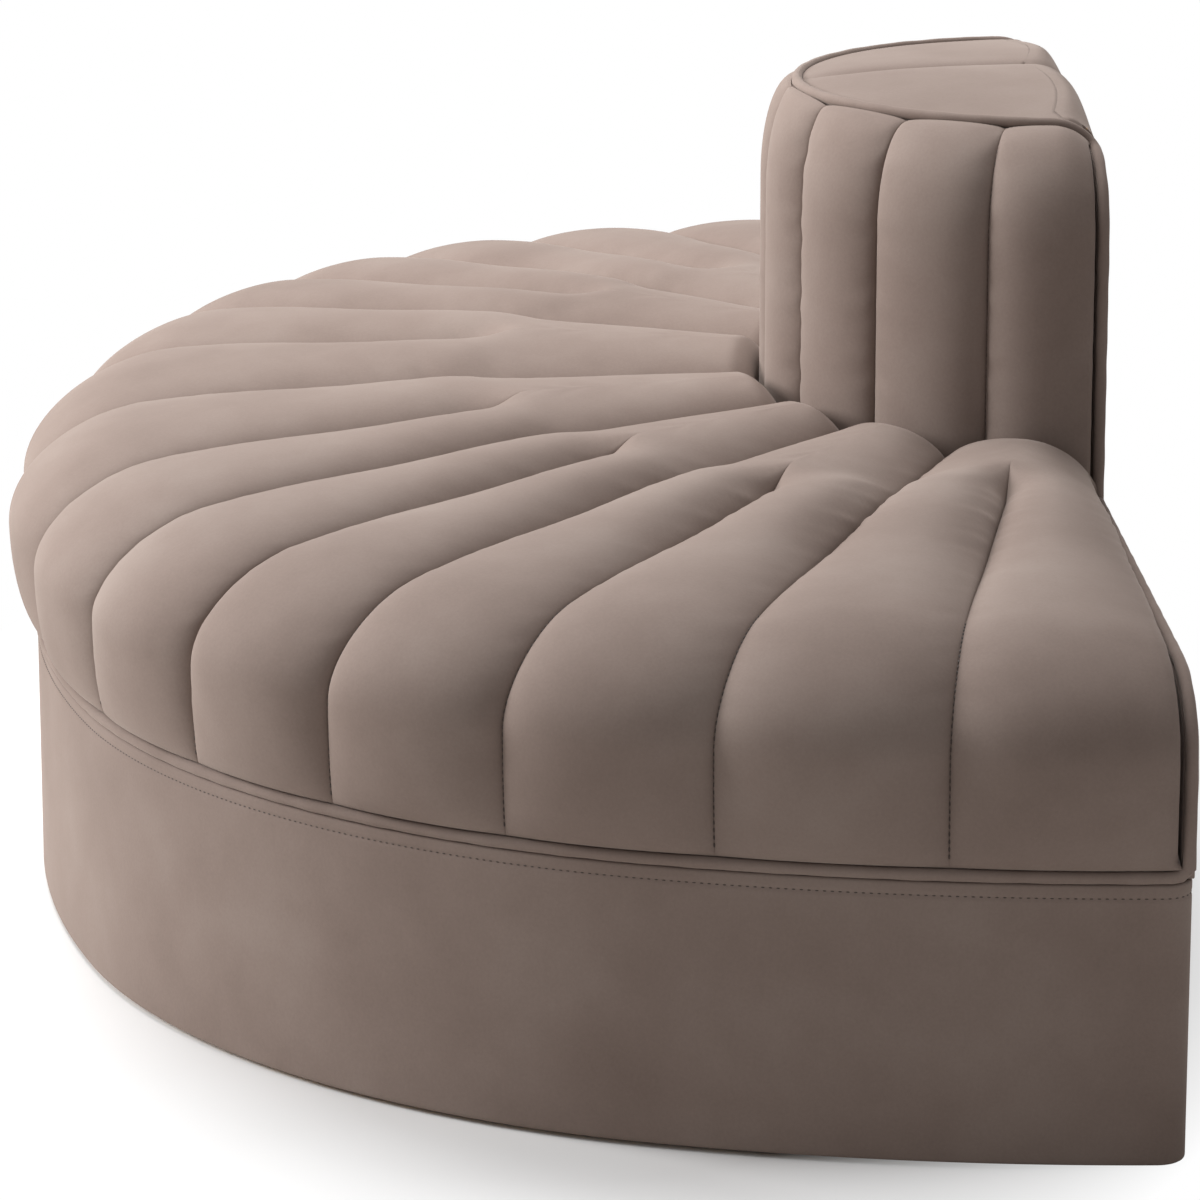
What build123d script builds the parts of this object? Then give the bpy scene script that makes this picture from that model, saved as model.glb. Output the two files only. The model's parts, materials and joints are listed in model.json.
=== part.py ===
"""Half-round channelled sofa made of two mirrored quarter modules, in millimetres, +Z up.

The flat back of the sofa faces +Y, the round front faces -Y, and the modules meet on the plane x = 0.
Each module is an upholstered plinth, a fan-shaped channelled seat and a quarter of a half-round backrest.
The right module (+X) is modelled, and the left one is its mirror image apart from the connectors.
"""

import os
from math import asin, atan2, cos, degrees, hypot, pi, radians, sin, sqrt

from build123d import *

# Plan of the plinth: each quarter is a side arc, a fuller shoulder arc and a front arc, all tangent
HALF_WIDTH = 1020.0
DIAGONAL_SWELL = 57.0
SHOULDER_ARC_DROP = 255.0
REAR_CORNER_R = 26.0
MODULE_GAP = 1.5

# Heights
GLIDE_HEIGHT = 4.0
DECK_TOP = 250.0
SEAT_THICKNESS = 186.0
SEAT_CROWN = 48.0
BACKREST_HEIGHT = 503.0

# Plinth boards and covers
COVER_THICKNESS = 4.0
WALL_THICKNESS = 12.0
BOARD_THICKNESS = 15.0
DECK_THICKNESS = 18.0
RAIL_THICKNESS = 18.0
RAIL_WIDTH = 70.0
RIB_THICKNESS = 15.0
RIB_INNER_REACH = 60.0
RIB_ANGLES = (30.0, 60.0)
DUST_COVER_THICKNESS = 1.0
DUST_COVER_INSET = 12.0
GLIDE_SIDE = 36.0
GLIDE_SHARES = (0.08, 0.5, 0.92)
REAR_GLIDE_X = 110.0

# Seat: the channels widen towards the front, and the top rises towards the backrest
SEAT_CHANNELS = 8
SEAM_CROWDING = 0.58
SECTION_SHARES = (0.0, 0.15, 0.5, 0.85)
SEAT_CHANNEL_DEPTH = 30.0
SEAT_RIM_BULGE = 26.0
SEAT_RIM_BULGE_HEIGHT = 92.0
SEAT_SHOULDER_REACH = 108.0
SEAM_SHOULDER_REACH = 92.0
SEAM_BULGE = 3.0
REAR_EDGE_DROP = 14.0
DART_END_REACH = 480.0
DART_RAMP = 90.0
DART_CROWN_SHARE = 0.95
MIDDLE_CROWN_SHARE = 0.85
ROLL_CHORDS = 4
SEAT_LIP = 3.0

# Backrest: half an ellipse in plan
BACKREST_CHANNELS = 4
BACKREST_HALF_WIDTH = 358.0
BACKREST_DEPTH = 292.0
BACKREST_CHANNEL_DEPTH = 18.0
BACKREST_EDGE_FILL = 0.65
BACKREST_FOOT_TUCK = 12.0
BACKREST_FOOT_HEIGHT = 40.0
BACKREST_SHOULDER_HEIGHT = 56.0
BACKREST_CORE_R = 250.0
CROWN_RISE = 42.0
CROWN_EDGE_RISE = 9.0
CROWN_PEAK_SETBACK = 95.0
CROWN_REAR_DROP = 16.0
CROWN_END_DROP = 30.0
CROWN_SHARES = (0.0, 0.55, 1.0)

# Welts, back pads and fits
WELT_DIAMETER = 11.0
WELT_SIDES = 6
BACK_PAD_THICKNESS = 12.0
PAD_CLEARANCE = 1.4
SOFT_CLEARANCE = 0.4
SEAT_TO_BACKREST = 3.0

# Fasteners
BOLT_DIAMETER = 8.0
BOLT_HEAD_DIAMETER = 15.0
BOLT_HEAD_HEIGHT = 6.0
BOLT_GRIP = 12.0
BOLT_HOLE_CLEARANCE = 0.3
BOLT_REACH = 165.0
BOLT_ANGLES = (15.0, 75.0)
PIN_DIAMETER = 14.0
PIN_FLANGE_DIAMETER = 44.0
PIN_FLANGE_THICKNESS = 5.0
PIN_Y = (-300.0, -720.0)
PIN_HEIGHT = 125.0
PIN_NOSE = 6.0
SOCKET_PLATE = 64.0
SOCKET_PLATE_THICKNESS = 5.0
SOCKET_COLLAR_DIAMETER = 26.0
SOCKET_COLLAR_LENGTH = 20.0
PIN_CLEARANCE = 0.4
PANEL_HOLE_CLEARANCE = 3.0

# Worked out from the sizes above
MATING_X = MODULE_GAP / 2
FAN_Y = -BACK_PAD_THICKNESS
SHOULDER_ARC_R = HALF_WIDTH - SHOULDER_ARC_DROP
SHOULDER_CENTRE = (HALF_WIDTH + DIAGONAL_SWELL - SHOULDER_ARC_R) / sqrt(2)
SIDE_ARC_R = ((HALF_WIDTH - SHOULDER_CENTRE) ** 2 + SHOULDER_CENTRE**2 - SHOULDER_ARC_R**2) / (
    2 * (HALF_WIDTH - SHOULDER_CENTRE - SHOULDER_ARC_R)
)
SIDE_CENTRE = HALF_WIDTH - SIDE_ARC_R
TANGENT_ANGLE = atan2(SHOULDER_CENTRE, SHOULDER_CENTRE - SIDE_CENTRE)
DECK_UNDERSIDE = DECK_TOP - DECK_THICKNESS
WALL_INSET = COVER_THICKNESS + WALL_THICKNESS
PANEL_FRONT_Y = -(COVER_THICKNESS + BOARD_THICKNESS)
RAIL_TOP = GLIDE_HEIGHT + RAIL_THICKNESS
SEAT_TOP = DECK_TOP + SEAT_THICKNESS
WELT_R = WELT_DIAMETER / 2
WELT_NOTCH = WELT_DIAMETER + SOFT_CLEARANCE * 2
PAD_INSET = WELT_DIAMETER + PAD_CLEARANCE
SEAT_END_REACH = BACKREST_HALF_WIDTH + SEAT_TO_BACKREST
BACKREST_TOP = DECK_TOP + BACKREST_HEIGHT
TOP_WELT_R = BACKREST_CORE_R + SOFT_CLEARANCE + WELT_R
SHOULDER_TOP_REACH = TOP_WELT_R + WELT_R + SOFT_CLEARANCE


class RimArc:
    """One arc of the plinth outline, from the rear corner towards the front."""

    def __init__(self, centre, radius, start, end):
        self.centre = centre
        self.radius = radius
        self.start = start
        self.end = end

    def length(self):
        """Length of the arc on the plinth outline."""
        return self.radius * (self.end - self.start)

    def point(self, angle, inset=0.0):
        """Point of the arc at an angle, moved inwards by the inset."""
        radius = self.radius - inset
        return (self.centre[0] + radius * cos(angle), self.centre[1] - radius * sin(angle))

    def angle_at_y(self, y, inset):
        """Angle where the inset arc crosses a line of constant y."""
        return asin((self.centre[1] - y) / (self.radius - inset))

    def angle_at_x(self, x, inset):
        """Angle where the inset arc crosses a line of constant x."""
        return pi / 2 - asin((x - self.centre[0]) / (self.radius - inset))


SIDE_ARC = RimArc((SIDE_CENTRE, 0.0), SIDE_ARC_R, 0.0, TANGENT_ANGLE)
SHOULDER_ARC = RimArc(
    (SHOULDER_CENTRE, -SHOULDER_CENTRE), SHOULDER_ARC_R, TANGENT_ANGLE, pi / 2 - TANGENT_ANGLE
)
FRONT_ARC = RimArc((0.0, -SIDE_CENTRE), SIDE_ARC_R, pi / 2 - TANGENT_ANGLE, pi / 2)
RIM_ARCS = (SIDE_ARC, SHOULDER_ARC, FRONT_ARC)


def rim_edges(inset, start_y):
    """Tangent arcs of the inset outline, from a line of constant y to the mating plane."""
    angles = (
        (SIDE_ARC.angle_at_y(start_y, inset), SIDE_ARC.end),
        (SHOULDER_ARC.start, SHOULDER_ARC.end),
        (FRONT_ARC.start, FRONT_ARC.angle_at_x(MATING_X, inset)),
    )
    return [
        ThreePointArc(arc.point(a, inset), arc.point((a + b) / 2, inset), arc.point(b, inset))
        for arc, (a, b) in zip(RIM_ARCS, angles)
    ]


def footprint(inset):
    """Plan of the right module, drawn in from the rim and the back but not from the mating plane."""
    arcs = rim_edges(inset, -inset)
    front = arcs[-1] @ 1
    rear = arcs[0] @ 0
    back = Line((MATING_X, -inset), rear)
    mating = Line(front, (MATING_X, -inset))
    face = make_face([back, *arcs, mating])
    rear_corner = face.vertices().group_by(Axis.Y)[-1].sort_by(Axis.X)[-1]
    return fillet(rear_corner, REAR_CORNER_R - inset) if inset < REAR_CORNER_R else face


def prism(face, bottom, top):
    """A plan face raised between two heights."""
    return Pos(0, 0, bottom) * extrude(face, top - bottom)


def block(x0, x1, y0, y1, z0, z1):
    """A box between pairs of coordinates."""
    return Pos((x0 + x1) / 2, (y0 + y1) / 2, (z0 + z1) / 2) * Box(x1 - x0, y1 - y0, z1 - z0)


def upright(x, y, bottom, top, diameter):
    """A vertical cylinder between two heights."""
    return Pos(x, y, (bottom + top) / 2) * Cylinder(diameter / 2, top - bottom)


def cross_pin(y, z, x0, x1, diameter):
    """A cylinder along X between two coordinates."""
    return Pos((x0 + x1) / 2, y, z) * Rot(0, 90, 0) * Cylinder(diameter / 2, x1 - x0)


def rim_point(share, inset=0.0):
    """Point at a share of the rim's length, from the rear corner to the front centre."""
    left = share * sum(arc.length() for arc in RIM_ARCS)
    for arc in RIM_ARCS:
        if left <= arc.length() or arc is FRONT_ARC:
            return arc.point(arc.start + left / arc.radius, inset)
        left -= arc.length()


def fan_points(angle, outline):
    """An outline of reach and height pairs, stood up in one direction from the fan's axis."""
    return [(MATING_X + reach * cos(angle), FAN_Y - reach * sin(angle), height) for reach, height in outline]


def roll(start, end, rise):
    """Chord points of an arc that leaves its start upright, up or down, and runs to its end."""
    arc = TangentArc(start, end, tangent=(0, rise))
    points = [arc @ (step / ROLL_CHORDS) for step in range(ROLL_CHORDS + 1)]
    return [(point.X, point.Y) for point in points]


def flat_face(*corners):
    """A flat face with the given corners."""
    return Face(Wire.make_polygon(corners, close=True))


def faceted(outlines):
    """A solid with flat ends, and flat triangles between outlines that match point for point."""
    faces = [flat_face(*outlines[0]), flat_face(*outlines[-1])]
    for near, far in zip(outlines, outlines[1:]):
        for i in range(len(near)):
            faces.append(flat_face(near[i - 1], near[i], far[i]))
            faces.append(flat_face(near[i - 1], far[i], far[i - 1]))
    return Solid(Shell(faces))


def angle_and_reach(position):
    """Direction of a place on the seat from the fan's axis, and the distance to the rim along it.

    The position counts channels from the rear edge, so whole numbers are seams.
    """
    turn = position / SEAT_CHANNELS
    x, y = rim_point(turn - SEAM_CROWDING * turn**3 * (1 - turn))
    if position == 0:
        y = FAN_Y
    if position == SEAT_CHANNELS:
        x = MATING_X
    return atan2(FAN_Y - y, x - MATING_X), hypot(x - MATING_X, y - FAN_Y)


def arch(share):
    """Fill of a channel across its width: nothing in its seams, full at its crest."""
    return sqrt(1 - (2 * share - 1) ** 2)


def positions(channels):
    """Places of the sections that shape a row of channels, in channels from the rear edge."""
    return [index + share for index in range(channels) for share in SECTION_SHARES] + [channels]


def between(low, high, fill):
    """A value that goes from low to high as the fill goes from 0 to 1."""
    return low + (high - low) * fill


def backrest_reach(angle):
    """Distance from the fan's axis to the crests of the backrest, round its ellipse."""
    return BACKREST_HALF_WIDTH * BACKREST_DEPTH / hypot(
        BACKREST_DEPTH * cos(angle), BACKREST_HALF_WIDTH * sin(angle)
    )


# Plinth


def base_cover():
    """Fabric over thin foam, round the front, the rear corner and the back."""
    return prism(footprint(0) - footprint(COVER_THICKNESS), GLIDE_HEIGHT, DECK_TOP)


def in_front_of_back_panel(solid):
    """The part of a solid that lies in front of the back panel."""
    return solid & block(MATING_X, 2 * HALF_WIDTH, -2 * HALF_WIDTH, PANEL_FRONT_Y, 0, DECK_TOP)


def base_front_wall():
    """Bent plywood wall that carries the curved front."""
    ring = footprint(COVER_THICKNESS) - footprint(WALL_INSET)
    return in_front_of_back_panel(prism(ring, GLIDE_HEIGHT, DECK_UNDERSIDE))


def base_back_panel():
    """Flat plywood panel along the back, with its outer corner rounded under the cover."""
    plan = prism(footprint(COVER_THICKNESS), GLIDE_HEIGHT, DECK_UNDERSIDE)
    return plan & block(MATING_X, 2 * HALF_WIDTH, PANEL_FRONT_Y, 0, 0, DECK_TOP)


def base_side_panel(hole_diameter):
    """Panel on the mating side, bored for the connector pins."""
    plan = prism(footprint(WALL_INSET), GLIDE_HEIGHT, DECK_UNDERSIDE)
    inner_x = MATING_X + BOARD_THICKNESS
    panel = plan & block(MATING_X, inner_x, -2 * HALF_WIDTH, PANEL_FRONT_Y, 0, DECK_TOP)
    for y in PIN_Y:
        panel -= cross_pin(y, PIN_HEIGHT, 0, inner_x + 1, hole_diameter)
    return panel


def base_bottom_rail():
    """Plywood rail along the back and the curved front, which the glides are nailed to."""
    ring = footprint(WALL_INSET) - footprint(WALL_INSET + RAIL_WIDTH)
    rail = in_front_of_back_panel(prism(ring, GLIDE_HEIGHT, RAIL_TOP))
    return rail - block(0, MATING_X + BOARD_THICKNESS, -2 * HALF_WIDTH, 0, 0, DECK_TOP)


def base_ribs():
    """Upright boards that fan out under the deck, one solid each."""
    hull = in_front_of_back_panel(prism(footprint(WALL_INSET), RAIL_TOP, DECK_UNDERSIDE))
    ribs = []
    for angle in RIB_ANGLES:
        board = block(RIB_INNER_REACH, 2 * HALF_WIDTH, -RIB_THICKNESS / 2, RIB_THICKNESS / 2, 0, DECK_TOP)
        ribs.append(hull & (Pos(MATING_X, FAN_Y, 0) * Rot(0, 0, -angle) * board))
    return ribs


def bolt_places():
    """Plan positions of the bolts between the deck and the backrest."""
    return [
        (MATING_X + BOLT_REACH * cos(radians(a)), FAN_Y - BOLT_REACH * sin(radians(a))) for a in BOLT_ANGLES
    ]


def base_deck():
    """Plywood deck under the seat, bored for the backrest bolts."""
    deck = prism(footprint(COVER_THICKNESS), DECK_UNDERSIDE, DECK_TOP)
    for x, y in bolt_places():
        deck -= upright(x, y, DECK_UNDERSIDE - 1, DECK_TOP + 1, BOLT_DIAMETER + 2 * BOLT_HOLE_CLEARANCE)
    return deck


def glide_places():
    """Plan positions of the glides, along the middle of the bottom rail."""
    inset = WALL_INSET + RAIL_WIDTH / 2
    return [(REAR_GLIDE_X, -inset)] + [rim_point(share, inset) for share in GLIDE_SHARES]


def floor_glides():
    """Square plastic glides under the rail, nailed on through the dust cover."""
    half = GLIDE_SIDE / 2
    top = GLIDE_HEIGHT - DUST_COVER_THICKNESS
    return [block(x - half, x + half, y - half, y + half, 0, top) for x, y in glide_places()]


def dust_cover():
    """Thin cloth stapled under the plinth."""
    return prism(footprint(DUST_COVER_INSET), GLIDE_HEIGHT - DUST_COVER_THICKNESS, GLIDE_HEIGHT)


# Seat


def seat_section(position):
    """Upright section of the seat along one direction of the fan.

    The rim stands over the welt, bulges out and rolls over a shoulder to the top.
    Odd seams are darts that end short of the backrest, so channels join in pairs there.
    """
    angle, reach = angle_and_reach(position)
    outer_fill = arch(position % 1)
    pair_fill = arch(position / 2 % 1)
    outer_rear = position < 0.5
    inner_rear = position < 1
    valley = SEAT_TOP - SEAT_CHANNEL_DEPTH
    rear_edge = SEAT_TOP - REAR_EDGE_DROP
    bulge = between(SEAM_BULGE, SEAT_RIM_BULGE, outer_fill)
    shoulder = between(SEAT_SHOULDER_REACH if outer_rear else SEAM_SHOULDER_REACH, SEAT_SHOULDER_REACH, outer_fill)
    outer_top = between(rear_edge if outer_rear else valley, SEAT_TOP, outer_fill)
    inner_top = between(rear_edge if inner_rear else valley + SEAT_CROWN, SEAT_TOP + SEAT_CROWN, pair_fill)
    dart_rise = DART_CROWN_SHARE * SEAT_CROWN * (pair_fill if inner_rear else 1)
    inner_reach = backrest_reach(angle) + SEAT_TO_BACKREST

    notch_top = DECK_TOP + WELT_NOTCH
    lip = (reach - SEAT_LIP, notch_top)
    widest = (reach + bulge, DECK_TOP + SEAT_RIM_BULGE_HEIGHT)
    shoulder_end = (reach + bulge - shoulder, outer_top)
    dart_end = (DART_END_REACH, outer_top + dart_rise)
    middle = ((shoulder_end[0] + dart_end[0]) / 2, outer_top + MIDDLE_CROWN_SHARE * dart_rise)
    outline = [
        (inner_reach, DECK_TOP),
        (reach - WELT_NOTCH, DECK_TOP),
        (reach - WELT_NOTCH, notch_top),
        *reversed(roll(widest, lip, -1)[1:]),
        *roll(widest, shoulder_end, 1),
        middle,
        dart_end,
        (DART_END_REACH - DART_RAMP, inner_top),
        (inner_reach, inner_top),
    ]
    return fan_points(angle, outline)


def seat_cushion():
    """Channelled fan seat, stretched over sections at the seams, flanks and crests of its channels."""
    return faceted([seat_section(position) for position in positions(SEAT_CHANNELS)])


def rear_edge_path(inset):
    """Edge of the seat's rear end, drawn in by an inset, as points in x and z."""
    _, reach = angle_and_reach(0)
    edge_x = MATING_X + reach + SEAM_BULGE - inset
    top = SEAT_TOP - REAR_EDGE_DROP - inset
    bulge_height = DECK_TOP + SEAT_RIM_BULGE_HEIGHT
    roll_end = (MATING_X + reach + SEAM_BULGE - SEAT_SHOULDER_REACH, top)
    return (edge_x, bulge_height), roll_end


def standing_plane(depth):
    """Upright plane parallel to the back, with its X along the sofa and its Y upwards."""
    return Plane(origin=(0, -depth, 0), x_dir=(1, 0, 0), z_dir=(0, -1, 0))


def tube(path):
    """A welt swept along a path."""
    section = Plane(origin=path @ 0, z_dir=path % 0) * RegularPolygon(WELT_R, WELT_SIDES)
    return sweep(section, path=path)


def seat_welt():
    """Welt between the plinth and the seat, along the curved rim."""
    path = Wire(rim_edges(SEAT_LIP, FAN_Y - SOFT_CLEARANCE))
    return tube(Pos(0, 0, DECK_TOP + WELT_R + SOFT_CLEARANCE / 2) * path)


def seat_rear_welt():
    """Welt that climbs the rear end of the seat and runs along its top edge to the backrest."""
    widest, roll_end = rear_edge_path(WELT_R)
    foot = (widest[0], DECK_TOP + WELT_NOTCH)
    finish = (MATING_X + SEAT_END_REACH, roll_end[1])
    edges = [Line(foot, widest), TangentArc(widest, roll_end, tangent=(0, 1)), Line(roll_end, finish)]
    return tube(standing_plane(WELT_R + SOFT_CLEARANCE) * Wire(edges))


def back_pad(face):
    """A flat pad on the back, between the back plane and the soft body in front of it."""
    return extrude(standing_plane(0) * face, BACK_PAD_THICKNESS)


def seat_back_pad():
    """Flat upholstered back of the seat, inside the rear welt."""
    widest, roll_end = rear_edge_path(PAD_INSET)
    inner_x = MATING_X + SEAT_END_REACH
    edges = [
        Line((inner_x, DECK_TOP), (widest[0], DECK_TOP)),
        Line((widest[0], DECK_TOP), widest),
        TangentArc(widest, roll_end, tangent=(0, 1)),
        Line(roll_end, (inner_x, roll_end[1])),
        Line((inner_x, roll_end[1]), (inner_x, DECK_TOP)),
    ]
    return back_pad(make_face(edges))


# Backrest


def backrest_section(position):
    """Upright section of the channelled pad round the backrest, counted in channels from the rear edge."""
    angle = pi / 2 * position / BACKREST_CHANNELS
    seam_fill = BACKREST_EDGE_FILL if position < 0.5 else 0
    fill = between(seam_fill, 1, arch(position % 1))
    reach = backrest_reach(angle) - BACKREST_CHANNEL_DEPTH * (1 - fill)
    shoulder_top = BACKREST_TOP + WELT_DIAMETER
    foot = (reach - BACKREST_FOOT_TUCK, DECK_TOP)
    side_bottom = (reach, DECK_TOP + BACKREST_FOOT_HEIGHT)
    side_top = (reach, shoulder_top - BACKREST_SHOULDER_HEIGHT)
    shoulder = (SHOULDER_TOP_REACH, shoulder_top)
    ledge = (SHOULDER_TOP_REACH, BACKREST_TOP)
    widest_step = pi / 2 / BACKREST_CHANNELS * (SECTION_SHARES[2] - SECTION_SHARES[1])
    inner = (BACKREST_CORE_R + SOFT_CLEARANCE) / cos(widest_step / 2)
    outline = [
        (inner, DECK_TOP),
        *reversed(roll(side_bottom, foot, -1)),
        *roll(side_top, shoulder, 1),
        ledge,
        (inner, BACKREST_TOP),
    ]
    return fan_points(angle, outline)


def backrest_cushion():
    """Channelled pad wrapped round the front of the backrest."""
    return faceted([backrest_section(position) for position in positions(BACKREST_CHANNELS)])


def quarter_disc(radius, bottom, top):
    """A quarter cylinder round the fan's axis."""
    disc = upright(MATING_X, FAN_Y, bottom, top, 2 * radius)
    return disc & block(MATING_X, MATING_X + radius, FAN_Y - radius, FAN_Y, bottom, top)


BOTTOM_BOARD_TOP = DECK_TOP + DECK_THICKNESS
TOP_BOARD_UNDERSIDE = BACKREST_TOP - DECK_THICKNESS


def backrest_bottom_board():
    """Quarter-round board that stands on the deck and takes the bolts."""
    board = quarter_disc(BACKREST_CORE_R, DECK_TOP, BOTTOM_BOARD_TOP)
    for x, y in bolt_places():
        board -= upright(x, y, DECK_TOP - 1, DECK_TOP + BOLT_GRIP, BOLT_DIAMETER + 2 * BOLT_HOLE_CLEARANCE)
    return board


def backrest_top_board():
    """Quarter-round board under the crowned top pad."""
    return quarter_disc(BACKREST_CORE_R, TOP_BOARD_UNDERSIDE, BACKREST_TOP)


def backrest_wall():
    """Bent plywood wall between the two boards."""
    inner = quarter_disc(BACKREST_CORE_R - WALL_THICKNESS, BOTTOM_BOARD_TOP, TOP_BOARD_UNDERSIDE)
    return quarter_disc(BACKREST_CORE_R, BOTTOM_BOARD_TOP, TOP_BOARD_UNDERSIDE) - inner


def backrest_back_panel():
    """Flat panel that closes the back of the frame."""
    core = quarter_disc(BACKREST_CORE_R - WALL_THICKNESS, BOTTOM_BOARD_TOP, TOP_BOARD_UNDERSIDE)
    return core & block(0, HALF_WIDTH, FAN_Y - BOARD_THICKNESS, 0, 0, BACKREST_TOP)


def backrest_side_panel():
    """Panel on the mating side of the frame."""
    core = quarter_disc(BACKREST_CORE_R - WALL_THICKNESS, BOTTOM_BOARD_TOP, TOP_BOARD_UNDERSIDE)
    rear_y = FAN_Y - BOARD_THICKNESS
    return core & block(MATING_X, MATING_X + BOARD_THICKNESS, -HALF_WIDTH, rear_y, 0, BACKREST_TOP)


def crown_section(x, drop):
    """Section of the crowned top at one x, lowered by a drop."""
    front_y = FAN_Y - BACKREST_CORE_R
    peak = BACKREST_TOP + CROWN_RISE - drop
    rear = (FAN_Y, peak - CROWN_REAR_DROP * (1 - drop / CROWN_RISE))
    front = (front_y, BACKREST_TOP + CROWN_EDGE_RISE)
    edges = [
        ThreePointArc(rear, (FAN_Y - CROWN_PEAK_SETBACK, peak), front),
        Line(front, (front_y, DECK_TOP)),
        Line((front_y, DECK_TOP), (FAN_Y, DECK_TOP)),
        Line((FAN_Y, DECK_TOP), rear),
    ]
    return Plane(origin=(x, 0, 0), x_dir=(0, 1, 0), z_dir=(1, 0, 0)) * make_face(edges)


def backrest_top_pad():
    """Crowned pad on the top of the backrest, highest near the middle and low at its edge."""
    sections = [
        crown_section(MATING_X + BACKREST_CORE_R * share, CROWN_END_DROP * share**2) for share in CROWN_SHARES
    ]
    crown = loft(sections, ruled=True)
    return quarter_disc(BACKREST_CORE_R, BACKREST_TOP, BACKREST_TOP + CROWN_RISE * 2) & crown


def backrest_top_welt():
    """Welt between the channelled pad and the crowned top."""
    z = BACKREST_TOP + WELT_R + SOFT_CLEARANCE / 2
    return tube(Pos(MATING_X, FAN_Y, z) * CenterArc((0, 0), TOP_WELT_R, -90, 90))


def backrest_rear_path(inset):
    """Edge of the backrest's rear end, drawn in by an inset: its straight side and its shoulder."""
    edge_reach = BACKREST_HALF_WIDTH - BACKREST_CHANNEL_DEPTH * (1 - BACKREST_EDGE_FILL)
    side_x = MATING_X + edge_reach - inset
    shoulder_top = BACKREST_TOP + WELT_DIAMETER
    side_top = (side_x, shoulder_top - BACKREST_SHOULDER_HEIGHT)
    shoulder = (MATING_X + SHOULDER_TOP_REACH, shoulder_top - inset)
    return side_top, shoulder


def backrest_rear_welt():
    """Welt down the rear edge of the backrest, from the top to the deck."""
    side_top, shoulder = backrest_rear_path(WELT_R)
    foot = (side_top[0], DECK_TOP + SOFT_CLEARANCE)
    edges = [Line(foot, side_top), TangentArc(side_top, shoulder, tangent=(0, 1))]
    return tube(standing_plane(WELT_R + SOFT_CLEARANCE) * Wire(edges))


def backrest_back_pad():
    """Flat upholstered back of the backrest, inside its rear welt."""
    side_top, shoulder = backrest_rear_path(PAD_INSET)
    edges = [
        Line((MATING_X, DECK_TOP), (side_top[0], DECK_TOP)),
        Line((side_top[0], DECK_TOP), side_top),
        TangentArc(side_top, shoulder, tangent=(0, 1)),
        Line(shoulder, (MATING_X, shoulder[1])),
        Line((MATING_X, shoulder[1]), (MATING_X, DECK_TOP)),
    ]
    return back_pad(make_face(edges))


def backrest_bolts():
    """Bolts that hold the backrest to the deck from below."""
    bolts = []
    for x, y in bolt_places():
        shank = upright(x, y, DECK_UNDERSIDE, DECK_TOP + BOLT_GRIP - BOLT_HOLE_CLEARANCE, BOLT_DIAMETER)
        head = extrude(Pos(x, y) * RegularPolygon(BOLT_HEAD_DIAMETER / 2, 6), BOLT_HEAD_HEIGHT)
        bolts.append(shank + Pos(0, 0, DECK_UNDERSIDE - BOLT_HEAD_HEIGHT) * head)
    return bolts


# Connectors between the modules, drawn on the right side of the mating plane


def connector_sockets():
    """Plates with a collar, screwed inside the right module's side panel."""
    inner_x = MATING_X + BOARD_THICKNESS
    sockets = []
    for y in PIN_Y:
        half = SOCKET_PLATE / 2
        plate = block(inner_x, inner_x + SOCKET_PLATE_THICKNESS, y - half, y + half, PIN_HEIGHT - half, PIN_HEIGHT + half)
        collar = cross_pin(y, PIN_HEIGHT, inner_x, inner_x + SOCKET_COLLAR_LENGTH, SOCKET_COLLAR_DIAMETER)
        bore = cross_pin(y, PIN_HEIGHT, 0, inner_x + SOCKET_COLLAR_LENGTH + 1, PIN_DIAMETER + 2 * PIN_CLEARANCE)
        sockets.append(plate + collar - bore)
    return sockets


def connector_pins():
    """Flanged pins that stand out of the left module's side panel into the sockets."""
    panel_x = -MATING_X - BOARD_THICKNESS
    tip_x = MATING_X + BOARD_THICKNESS + SOCKET_COLLAR_LENGTH
    pins = []
    for y in PIN_Y:
        flange = cross_pin(y, PIN_HEIGHT, panel_x - PIN_FLANGE_THICKNESS, panel_x, PIN_FLANGE_DIAMETER)
        shank = cross_pin(y, PIN_HEIGHT, panel_x, tip_x, PIN_DIAMETER)
        nose_edge = shank.edges().filter_by(GeomType.CIRCLE).sort_by(Axis.X)[-1]
        pins.append(flange + chamfer(nose_edge, PIN_NOSE / 2))
    return pins


SHARED_NODES = {
    "base_cover": base_cover,
    "base_front_wall": base_front_wall,
    "base_back_panel": base_back_panel,
    "base_bottom_rail": base_bottom_rail,
    "base_ribs": base_ribs,
    "base_deck": base_deck,
    "floor_glides": floor_glides,
    "dust_cover": dust_cover,
    "seat_cushion": seat_cushion,
    "seat_welt": seat_welt,
    "seat_rear_welt": seat_rear_welt,
    "seat_back_pad": seat_back_pad,
    "backrest_cushion": backrest_cushion,
    "backrest_bottom_board": backrest_bottom_board,
    "backrest_top_board": backrest_top_board,
    "backrest_wall": backrest_wall,
    "backrest_back_panel": backrest_back_panel,
    "backrest_side_panel": backrest_side_panel,
    "backrest_top_pad": backrest_top_pad,
    "backrest_top_welt": backrest_top_welt,
    "backrest_rear_welt": backrest_rear_welt,
    "backrest_back_pad": backrest_back_pad,
    "backrest_bolts": backrest_bolts,
}


def as_solids(shape):
    """All solids of a piece or of a list of pieces."""
    pieces = shape if isinstance(shape, list) else [shape]
    return [solid for piece in pieces for solid in piece.solids()]


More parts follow.
